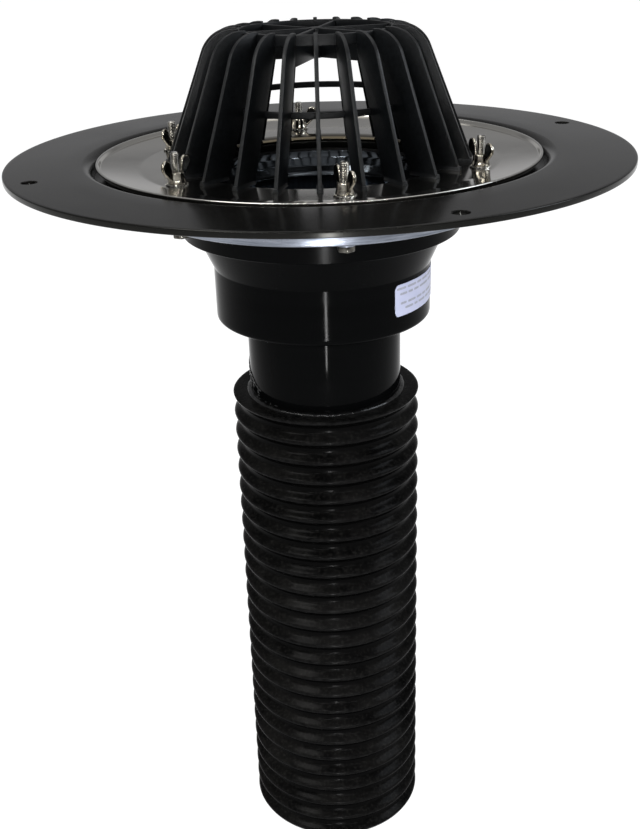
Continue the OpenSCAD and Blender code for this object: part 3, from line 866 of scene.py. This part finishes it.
def dome_plastic():
    m, t, s = material("dome_plastic", IOR=1.28)
    axis = use(t, AXIS)
    reach = plus(t, axis["Radius"], times(t, axis["Height"], tan(radians(LEAN))))
    edge = spread(t, reach, 0.0, 1.0, (DOME_R - SHINE_START) * MM, (DOME_R - SHINE_END) * MM)
    fleck = noise_fac(t, 420.0, 4.0, 0.7)
    # Painted light: the blue cast of both tones stands in for a cool window's light on the fins.
    tone = mixed(t, spread(t, fleck, 0.0, 1.0, 0.35, 0.65), (0.0012, 0.0015, 0.0018), (0.0042, 0.0050, 0.0058))
    # Painted highlight: the outer fin edges are made paler where they catch the light.
    painted_edge_shine = mixed(t, times(t, edge, spread(t, fleck, 0.45, 1.0)), (0.0, 0.0, 0.0), (0.012, 0.0125, 0.0125))
    both = mixed(t, 1.0, tone, painted_edge_shine, blend_type="ADD")
    dust = use(t, DUST, {"Color": both, "Amount": 0.012, "Scale": 30.0})
    finish(t, s, dust["Color"], spread(t, noise_fac(t, 40.0, 5.0), 0.36, 0.48), (grain(t, 900.0), 0.00012, 0.5),
           (noise_fac(t, 90.0, 2.0), 0.0002, 0.15))
    return m


DOME_MAT = dome_plastic()
print("finish:", DOME_MAT.name)

# %% Fins, feet and ribs
FIN_DEEP, FIN_PROUD, CROWN_H, SHOULDER_R = 20.0, 1.2, 4.2, 22.0
FIN_RUN = FIN_DEEP / cos(radians(LEAN))
CROWN_Z = DOME_H - FIN_PROUD - CROWN_H
RIB_TOP, RIB_LOW, RIB_T, RIB_N = DOME_H - 2.0, DOME_H - 20.0, 2.2, 6


def fin_out(z):
    """Radius of a fin's outer edge at this height."""
    return DOME_R - tan(radians(LEAN)) * z


def fin_in(z):
    return fin_out(z) - FIN_RUN


CROWN_R = fin_in(CROWN_Z) - 0.6


def fin_outline():
    top_r = fin_out(DOME_H) - SHOULDER_R * tan(radians(90 - LEAN) / 2)
    angles = [radians(LEAN + (90 - LEAN) * i / 14) for i in range(15)]
    shoulder = [(top_r + SHOULDER_R * cos(a), DOME_H - SHOULDER_R + SHOULDER_R * sin(a)) for a in angles]
    inner = [(CROWN_R + 1.5, DOME_H), (CROWN_R + 1.5, CROWN_Z + 1.6), (fin_in(CROWN_Z + 0.8), CROWN_Z + 0.8)]
    return [(fin_in(0), 0), (fin_out(0), 0)] + shoulder + inner


def round_axis(mesh, count=FIN_N):
    return ring_of(mesh, count, 0.0, FIN_A0, DOME_MAT)


fins = round_axis(bevelled(plate("fin", fin_outline(), FIN_T), 0.35, 2, 30))
rib_shape = [(3.0, RIB_LOW), (fin_in(RIB_LOW) + 1, RIB_LOW), (CROWN_R + 2.5, RIB_TOP), (3.0, RIB_TOP)]
ribs = round_axis(bevelled(plate("rib", rib_shape, RIB_T), 0.3, 2, 30), RIB_N)
FLARE = ((-2.2, 0), (2.2, 0), (1.8, 0.5), (1.5, 1.2), (1.2, 2.6), (-1.2, 2.6), (-1.5, 1.2), (-1.8, 0.5))
foot_ends = [[(x, y, z) for y, z in FLARE] for x in (fin_in(0) + 0.4, fin_out(0) + 0.4)]
feet = round_axis(bevelled(between("foot", *foot_ends), 0.25, 2, 20))
print("fins, feet and ribs:", [len(m.polygons) for m in (fins, feet, ribs)], "faces")


# %% Crown ring, hoop and hub, joined with the fins
def band(r0, r1, z0, z1, soft=0.5):
    return lathe("band", rounded([(r0, z0, soft), (r1, z0, soft), (r1, z1, soft), (r0, z1, soft)], 3), 192)


HOOP_Z, HUB_R = 39.3, 4.5
hoop_r = fin_in(HOOP_Z) + 1.6
hoop = band(hoop_r - 3, hoop_r, HOOP_Z - 2, HOOP_Z + 2)
crown = band(CROWN_R, CROWN_R + 3, CROWN_Z - 2.4, CROWN_Z + CROWN_H)
hub = lathe("hub", rounded([(0.01, RIB_LOW - 0.4, 0), (HUB_R, RIB_LOW - 0.4, 0.5), (HUB_R, RIB_TOP + 0.4, 0.6),
                            (0.01, RIB_TOP + 0.4, 0)], 3), 48)
on_ring = Matrix.Translation((0, 0, DECK_Z * MM))
dome = joined("strainer_dome_moulding", [moved(m, on_ring) for m in (fins, feet, ribs, hub, hoop, crown)],
              DOME_MAT, smooth=30)
hand_over(dome, "dome_plastic", "strainer_dome")


# %% [markdown]
# ## Steel of the small parts
# Bolts, heads, washers and nuts are all stainless, yet they don't look alike:
# a thread is bright and broken up, spring washers shine, and cast nuts are
# tumbled smooth. The heads get a darker copy of the thread's steel, which is
# painted shade, and the nuts' darker, warmer blotches are painted reflections of
# dark surroundings. One recipe with two tones and a range of roughness covers
# all four, which keeps them a family.

# %% Bright steels
def bright_steel(name, low, high, rough):
    m, t, s = material(name, Metallic=1.0)
    tone = mixed(t, spread(t, noise_fac(t, 240.0, 4.0), 0.0, 1.0, 0.36, 0.64), low, high)
    finish(t, s, tone, spread(t, noise_fac(t, 420.0, 3.0), *rough), (noise_fac(t, 380.0, 3.0), 0.00006, 0.35))
    return m


BOLT_MAT = bright_steel("bolt_steel", (0.16, 0.155, 0.14), (0.5, 0.48, 0.44), (0.1, 0.2))
# Painted shade: the heads get a darker copy of the thread's steel, for the shade they sit in.
HEAD_SHADE_MAT = bright_steel("bolt_head_painted_shade", (0.04, 0.038, 0.033), (0.14, 0.135, 0.12), (0.2, 0.34))
WASHER_MAT = bright_steel("washer_steel", (0.5, 0.49, 0.46), (0.82, 0.81, 0.78), (0.05, 0.12))
# Painted reflection: darker, warmer blotches stand in for dark surroundings mirrored in the nuts.
NUT_MAT = bright_steel("nut_steel", (0.17, 0.155, 0.125), (0.48, 0.45, 0.39), (0.06, 0.14))
print("finishes:", BOLT_MAT.name, HEAD_SHADE_MAT.name, WASHER_MAT.name, NUT_MAT.name)


# %% [markdown]
# ## Clamping bolts
# Six M6 bolts come up from below, with a plain washer under each head. A bump
# pattern could fake the thread, but its edge would stay straight against the
# light, so the thread is real: rows of points round the shank whose radius
# follows a screw line, one millimetre a turn, fading out at the tip. The head is
# a hexagon with a small chamfer. One bolt is made, and copied round the circle.

# %% Thread
BOLT_C, BOLT_N, BOLT_A0 = 112.0, 6, 30.0
BOLT_R, BOLT_TOP, THREAD_DEEP, THREAD_PITCH = 3.0, 18.9, 0.55, 1.0
WASHER_T, SHARP_TIP = 1.6, 0.8
HEAD_TOP = HEAD_Z - WASHER_T


def make_thread():
    """A plain shank with a thread above the plates, as one closed tube."""
    per, around = 8, 28
    plain = DECK_Z - 1.0
    turns = [(plain + 0.3 + i / per, 1) for i in range(int((BOLT_TOP - plain - 0.3) * per))]
    rows = [(HEAD_TOP, 0), (plain, 0)] + turns + [(BOLT_TOP, 1)]
    verts, faces = [], []
    for z, cut in rows:
        for k in range(around):
            a = 2 * pi * k / around
            tooth = abs(((z - k / around) % THREAD_PITCH) * 2 - 1)
            taper = within((BOLT_TOP - z) / SHARP_TIP)
            r = BOLT_R - 0.02 - cut * THREAD_DEEP * (1 - min(1.0, tooth * 1.25)) - (1 - taper) * 0.7
            verts.append((r * cos(a), r * sin(a), z))
    for i in range(len(rows) - 1):
        for k in range(around):
            m = (k + 1) % around
            faces.append((i * around + k, i * around + m, (i + 1) * around + m, (i + 1) * around + k))
    n = len(verts)
    faces += [tuple(range(around - 1, -1, -1)), tuple(range(n - around, n))]
    return fill_mesh("shank", verts, faces)


thread = make_thread()
print("thread:", len(thread.polygons), "faces over", BOLT_TOP - HEAD_TOP, "mm")


# %% Bolts and the washers under their heads
HEX = 10  # millimetres across the flats


def six(name):
    return [f"{name}_{i}" for i in range(1, BOLT_N + 1)]


def on_bolts(mesh, mat):
    return ring_of(mesh, BOLT_N, BOLT_C, BOLT_A0, mat)


def make_bolts():
    corners = [polar(HEX / math.sqrt(3), 60 * i) for i in range(6)]
    levels = ((0.86, HEAD_TOP - 4), (0.99, HEAD_TOP - 3.3), (1.0, HEAD_TOP))
    verts = [(c.x * s, c.y * s, z) for s, z in levels for c in corners]
    faces = [tuple(range(5, -1, -1)), tuple(range(12, 18))]
    faces += [(i + 6 * j, (i + 1) % 6 + 6 * j, (i + 1) % 6 + 6 * j + 6, i + 6 * j + 6)
              for j in (0, 1) for i in range(6)]
    head = bevelled(fill_mesh("head", verts, faces), 0.3, 2, 30)
    one = taken(joined("tmp_bolt", [thread, head], BOLT_MAT, None))
    obj = add_object("clamping_bolts", on_bolts(one, BOLT_MAT), BOLT_MAT, smooth=50)
    obj.data.materials.append(HEAD_SHADE_MAT)
    # Faces below the washer take the darker copy: painted shade on the heads.
    for face in obj.data.polygons:
        face.material_index = int(face.center.z < (HEAD_TOP - 0.1) * MM)
    return hand_over(obj, "bolt_steel", *six("hex_bolt"))


make_bolts()
WASHER_IN, WASHER_OUT = 3.3, 6.0
disc = lathe("disc", rounded([(WASHER_IN, HEAD_TOP, 0.2), (WASHER_OUT, HEAD_TOP, 0.3),
                              (WASHER_OUT, HEAD_Z, 0.3), (WASHER_IN, HEAD_Z, 0.2)], 2), 48)
hand_over(add_object("head_washers", on_bolts(disc, ZINC_MAT), ZINC_MAT), "zinc_steel", *six("head_washer"))


# %% [markdown]
# ## Toothed washers
# Under each wing nut lies a spring washer whose twelve teeth are twisted out of
# the plane, so that they bite. One tooth is a short strip of four steps, each a
# little wider and more tilted than the last. Copies round a thin hoop make one
# washer, and that washer is copied onto the six bolts: the same tree used twice.

# %% Toothed washers
TEETH, TOOTH_HALF_T, TWIST, RIM_OUT = 12, 0.17, 0.62, 5.6
TOOTH_STEPS = ((5.0, 0.8, 0.0), (5.7, 1.0, 0.35), (6.4, 1.15, 0.62), (6.98, 1.0, 0.62))


def make_toothed():
    tooth = [(x, y, DECK_Z + 0.55 + h + side * tilt * TWIST) for x, half, tilt in TOOTH_STEPS
             for y, side in ((-half, -1), (half, 1)) for h in (-TOOTH_HALF_T, TOOTH_HALF_T)]
    faces = []
    for a in (0, 4, 8):
        b = a + 4
        faces += [(a, a + 2, b + 2, b), (a + 1, b + 1, b + 3, a + 3),
                  (a, b, b + 1, a + 1), (a + 2, a + 3, b + 3, b + 2)]
    faces += [(0, 1, 3, 2), (12, 14, 15, 13)]
    teeth = ring_of(fill_mesh("tooth", tooth, faces), TEETH, 0.0, 0.0, WASHER_MAT)
    low, high = DECK_Z + 0.25, DECK_Z + 0.8
    corners = [(WASHER_IN, low), (RIM_OUT, low), (RIM_OUT, high), (WASHER_IN, high)]
    rim = lathe("rim", rounded([(*c, 0.1) for c in corners], 2), 48)
    one = taken(joined("tmp_toothed", [teeth, rim], WASHER_MAT, None))
    obj = add_object("toothed_washers", on_bolts(one, WASHER_MAT), WASHER_MAT, smooth=25)
    return hand_over(obj, "washer_steel", *six("toothed_washer"))


make_toothed()


# %% [markdown]
# ## Wing nuts
# A wing nut is cast: a conical hub with two ears that flow into it without an
# edge. Bevels can't make that flow where two shapes meet, but casting can be
# copied: hub and ears are pushed together, a Remesh turns them into one skin, a
# Smooth modifier melts the corners, and then the bore is cut clean, as the maker
# does. Each nut stands at its own angle, as a hand left it, and rides on its own
# body, so that it turns about its bolt.

# %% One wing nut
HUB_H, EAR_T, EAR_R, BORE, SKIN = 7.5, 2.3, 4.4, 3.06, 0.34
EAR_C, EAR_LOW, EAR_HIGH = Vector((10.4, 11.6)), Vector((5.2, 0.9)), Vector((4.3, 6.9))


def touch(p, side):
    """Angle at which a line from this point touches the ear's circle."""
    d = p - EAR_C
    return math.degrees(math.atan2(d.y, d.x) + side * math.acos(EAR_R / d.length))


def make_wing_nut():
    hub = lathe("nut_hub", rounded([(0.01, 0, 0), (6.2, 0, 0.7), (5.3, 3.2, 3), (4.75, HUB_H, 0.8),
                                    (0.01, HUB_H, 0)], 4), 56)
    a0, a1 = touch(EAR_LOW, 1) % 360, touch(EAR_HIGH, -1) % 360
    if a1 < a0:
        a1 += 360
    ear = [tuple(EAR_C + polar(EAR_R, a0 + (a1 - a0) * i / 22)) for i in range(23)]
    outline = [(2.0, EAR_LOW.y), tuple(EAR_LOW)] + ear + [tuple(EAR_HIGH), (2.0, EAR_HIGH.y)]
    wing = bevelled(plate("wing", outline, EAR_T), 0.8, 3, 50)
    one = joined("tmp_nut", [hub, wing, moved(wing, Matrix.Rotation(pi, 4, "Z"))], NUT_MAT, None)
    merge = one.modifiers.new("merge", "REMESH")
    merge.mode, merge.voxel_size = "VOXEL", SKIN * MM
    soft = one.modifiers.new("soft", "SMOOTH")
    soft.factor, soft.iterations = 0.5, 9
    applied(one)
    return taken(cut_out(one, lathe("bore", [(0.001, -2), (BORE, -2), (BORE, 20), (0.001, 20)], 48)))


NUT = make_wing_nut()
print("one wing nut:", len(NUT.polygons), "faces")

# %% Six wing nuts, each on its own body
NUT_TURN = (55, 75, 90, 25, 15, 135)
for i, turn in enumerate(NUT_TURN):
    a = BOLT_A0 + 60 * i
    spot = polar(BOLT_C, a)
    lift = Matrix.Translation((spot.x * MM, spot.y * MM, (DECK_Z + 1) * MM))
    place = lift @ Matrix.Rotation(radians(a + turn), 4, "Z")
    obj = add_object(f"wing_nut_cast_{i + 1}", moved(NUT, place), NUT_MAT, f"nut_{i + 1}", smooth=60)
    hand_over(obj, "nut_steel", f"wing_nut_{i + 1}")


# %% [markdown]
# ## Label
# A film label sticks on the sump and bends with it. It carries no words here,
# only rows of plain grey dashes where lines of small print would sit. A flat
# plane with a Simple Deform would bend, but a patch built straight on the
# cylinder fits it exactly. Its corners are rounded by pulling the ends of the
# columns in. The same patch, small and a hair thicker, makes each dash.

# %% Film and print
def label_film():
    m, t, s = material("label_film", Specular_IOR_Level=0.35)
    tone = mixed(t, noise_fac(t, 90.0, 4.0), (0.36, 0.38, 0.53), (0.45, 0.47, 0.60))
    finish(t, s, tone, spread(t, noise_fac(t, 120.0, 3.0), 0.35, 0.5), (noise_fac(t, 110.0, 2.0), 0.00012, 0.25))
    return m


def label_print():
    m, t, s = material("label_grey", Specular_IOR_Level=0.3, Roughness=0.5)
    finish(t, s, mixed(t, noise_fac(t, 700.0, 3.0), (0.20, 0.21, 0.25), (0.34, 0.35, 0.4)), None)
    return m


LABEL_MAT, PRINT_MAT = label_film(), label_print()
print("finishes:", LABEL_MAT.name, PRINT_MAT.name)


# %% A patch of film on the sump
def film(name, a0, a1, z0, z1, r0, r1, corner, n=60, rows=4):
    """A closed patch from angle a0 to a1, with rounded corners."""
    mid, half = (a0 + a1) / 2, (a1 - a0) / 2
    wide = rows + 1
    outer, inner, faces = [], [], []
    for i in range(n + 1):
        a = mid + half * (2 * i / n - 1)
        reach = (half - abs(a - mid)) * pi / 180 * r0
        cut = corner - math.sqrt(max(0.0, corner ** 2 - (corner - reach) ** 2)) if reach < corner else 0.0
        for j in range(wide):
            z = z0 + cut + (z1 - z0 - 2 * cut) * j / rows
            outer.append((*(polar(r1, a)), z))
            inner.append((*(polar(r0, a)), z))
    off = len(outer)
    for i in range(n):
        for j in range(rows):
            q = (i * wide + j, (i + 1) * wide + j, (i + 1) * wide + j + 1, i * wide + j + 1)
            faces += [q, tuple(x + off for x in reversed(q))]
        for j in (0, rows):
            faces.append((i * wide + j, i * wide + j + off, (i + 1) * wide + j + off, (i + 1) * wide + j))
    for i in (0, n):
        for j in range(rows):
            k = i * wide + j
            faces.append((k, k + 1, k + 1 + off, k + off))
    return fill_mesh(name, outer + inner, faces)


LABEL_A, LABEL_TOP, LABEL_W, LABEL_H = -59.0, -74.5, 90, 22
FILM_IN, FILM_OUT, PRINT_OUT = 76.06, 76.3, 76.33
PER_MM = 180 / pi / SUMP_R
sheet = film("label_sheet", LABEL_A, LABEL_A + LABEL_W * PER_MM, LABEL_TOP - LABEL_H, LABEL_TOP,
             FILM_IN, FILM_OUT, 3.0)
hand_over(add_object("label_sheet", sheet, LABEL_MAT, smooth=40), "label_film", "blank_label")

# %% Rows of plain dashes
DASH_HALF, DASH_GAP = 0.8, 1.5
DASH_ROWS = ((2.9, 1.5, (9, 10, 6, 9, 12, 5, 10, 14)), (6.7, 4.5, (7, 5, 6, 14, 9, 4, 12, 9)),
             (13.2, 5.0, (6, 9, 7, 5, 11, 8, 10, 6)), (16.9, 9.5, (9, 4, 10, 6, 12, 7, 8)))
dashes = []
for down, first, lengths in DASH_ROWS:
    x, z = first, LABEL_TOP - down
    for length in lengths:
        dashes.append(film("dash", LABEL_A + x * PER_MM, LABEL_A + (x + length) * PER_MM,
                           z - DASH_HALF, z + DASH_HALF, FILM_OUT, PRINT_OUT, 0.4, 10))
        x += length + DASH_GAP
hand_over(joined("label_bars", dashes, PRINT_MAT), "label_film")


# %% [markdown]
# ## The seal that keeps its solid
# The seal between flange and body is a flat rubber ring, and only its inner edge
# shows in the throat. The solid already has that shape, so it stays and is only
# given the rubber finish. A finer copy would add faces and show nothing more.

# %% Body seal
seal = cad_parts["body_seal"]
seal.data.materials.clear()
seal.data.materials.append(RUBBER_MAT)
print(seal.name, "keeps its solid, in", RUBBER_MAT.name)


# %% [markdown]
# ## Floor and room
# The drain stands on its hose on a pale floor. To look at, and in reflections,
# the floor should be white; as a surface that throws light back, it should stay
# a plain pale grey, or black plastic would turn grey from below. Light Path tells
# the two apart. The room is a world with a ramp by height: it is bright at the
# horizon and at the top, with a dim band between, which the satin flange mirrors.

# %% Floor
FLOOR_LEVEL, FLOOR_HALF = HOSE_END * MM, 14.0


def make_floor():
    mesh = bpy.data.meshes.new("floor")
    s = FLOOR_HALF
    mesh.from_pydata([(x, y, FLOOR_LEVEL) for x, y in ((-s, -s), (s, -s), (s, s), (-s, s))], [], [(0, 1, 2, 3)])
    m = bpy.data.materials.new("floor_white")
    m.use_nodes = True
    t = m.node_tree
    t.nodes.clear()
    out = t.nodes.new("ShaderNodeOutputMaterial")
    plain = node(t, "ShaderNodeBsdfDiffuse", {"Color": (0.86, 0.86, 0.86, 1)})
    shaded = node(t, "ShaderNodeBsdfDiffuse", {"Color": (0.2, 0.2, 0.2, 1)})
    glow = node(t, "ShaderNodeEmission", {"Color": (1, 1, 1, 1), "Strength": 0.93})
    both = node(t, "ShaderNodeAddShader", {0: shaded.outputs[0], 1: glow.outputs[0]})
    rays = t.nodes.new("ShaderNodeLightPath").outputs
    seen = plus(t, rays["Is Camera Ray"], rays["Is Glossy Ray"])
    seen = math_node(t, "ADD", seen, rays["Is Transmission Ray"], clamp=True)
    pick = node(t, "ShaderNodeMixShader", {0: seen, 1: plain.outputs[0], 2: both.outputs[0]})
    t.links.new(pick.outputs[0], out.inputs["Surface"])
    mesh.materials.append(m)
    loose("floor", mesh)


make_floor()
print("floor at", round(FLOOR_LEVEL, 4), "m")

# %% Room
RAMP = ((0.14, 0.5), (0.19, 0.31), (0.24, 0.22), (0.3, 0.33), (0.5, 0.33))


def make_world():
    w = bpy.data.worlds.new("room")
    bpy.context.scene.world = w
    w.use_nodes = True
    t = w.node_tree
    t.nodes.clear()
    out = t.nodes.new("ShaderNodeOutputWorld")
    up = node(t, "ShaderNodeSeparateXYZ", {0: node(t, "ShaderNodeTexCoord").outputs["Generated"]}).outputs[2]
    tone = node(t, "ShaderNodeValToRGB", {0: up})
    ramp = tone.color_ramp
    for i, at in ((0, 0.0), (1, 1.0)):
        ramp.elements[i].position, ramp.elements[i].color = at, (0.5, 0.5, 0.5, 1)
    for at, v in RAMP:
        ramp.elements.new(at).color = (v, v, v * 1.02, 1)
    back = node(t, "ShaderNodeBackground", {"Color": tone.outputs[0], "Strength": 1.0})
    t.links.new(back.outputs[0], out.inputs["Surface"])


make_world()
print("room ramp:", RAMP)


# %% [markdown]
# ## Camera and lamps
# The camera looks down on the dome from a little above, with its tilt and roll
# given as three angles, and then swings round the drain's axis. Black glossy
# plastic shows its lamps rather than its colour, so each lamp is placed for the
# highlight it leaves: a soft key from the left, a cool window on the right, a
# large panel above for the steel ring, a long thin lamp in front for the hose's
# crests and the nuts, and a low upright strip for the line down sump and pipe.

# %% Camera
SENSOR, FOCAL, VIEW_W = 36.0, 1122.0, 640
PITCH_DEG, YAW_DEG, ROLL_DEG, SWING_DEG = 24.33, -0.37, -1.83, -7.5
CAMERA_AT = (0.0, -0.7646, 0.1536)


def make_camera():
    data = bpy.data.cameras.new("camera")
    data.sensor_fit, data.sensor_width, data.lens = "HORIZONTAL", SENSOR, SENSOR * FOCAL / VIEW_W
    data.clip_start, data.clip_end = 0.02, 60.0
    obj = loose("camera", data)
    bpy.context.scene.camera = obj
    pitch, yaw, roll, swing = (radians(a) for a in (PITCH_DEG, YAW_DEG, ROLL_DEG, SWING_DEG))
    look = Vector((sin(yaw) * cos(pitch), cos(yaw) * cos(pitch), -sin(pitch)))
    right = look.cross(Vector((0, 0, 1))).normalized()
    up = right.cross(look)
    right, up = cos(roll) * right + sin(roll) * up, -sin(roll) * right + cos(roll) * up
    rows = Matrix((right, up, -look)).transposed().to_4x4()
    obj.matrix_world = Matrix.Rotation(swing, 4, "Z") @ Matrix.Translation(CAMERA_AT) @ rows
    return data


print("lens:", round(make_camera().lens, 2), "mm")


# %% Lamps
def lamp(name, place, aim, size, power, colour=(1, 1, 1)):
    data = bpy.data.lights.new(name, "AREA")
    data.shape, data.size, data.size_y = "RECTANGLE", size[0], size[1]
    data.energy, data.color = power, colour
    obj = loose(name, data)
    obj.location = place
    obj.rotation_mode = "QUATERNION"
    obj.rotation_quaternion = (Vector(aim) - Vector(place)).to_track_quat("-Z", "Y")
    print(f"{name}: {power} W, {size[0]} x {size[1]} m")


lamp("key_softbox", (-1.3, -0.9, 1.7), (0, 0, 0), (1.0, 1.0), 30, (1.0, 0.99, 0.97))
lamp("side_window", (1.7, -0.5, 0.9), (0, 0, -0.05), (0.8, 1.2), 18, (0.86, 0.92, 1.0))
lamp("top_light", (0.1, 0.5, 2.2), (0, 0, 0), (2.4, 2.0), 22)
lamp("front_light", (-0.16, -1.6, 0.62), (0, 0, -0.15), (1.8, 0.025), 10)
lamp("low_strip", (-0.09, -0.98, -0.3), (0, 0, -0.12), (0.03, 0.42), 5.5)
bpy.context.scene.view_settings.view_transform = "Standard"
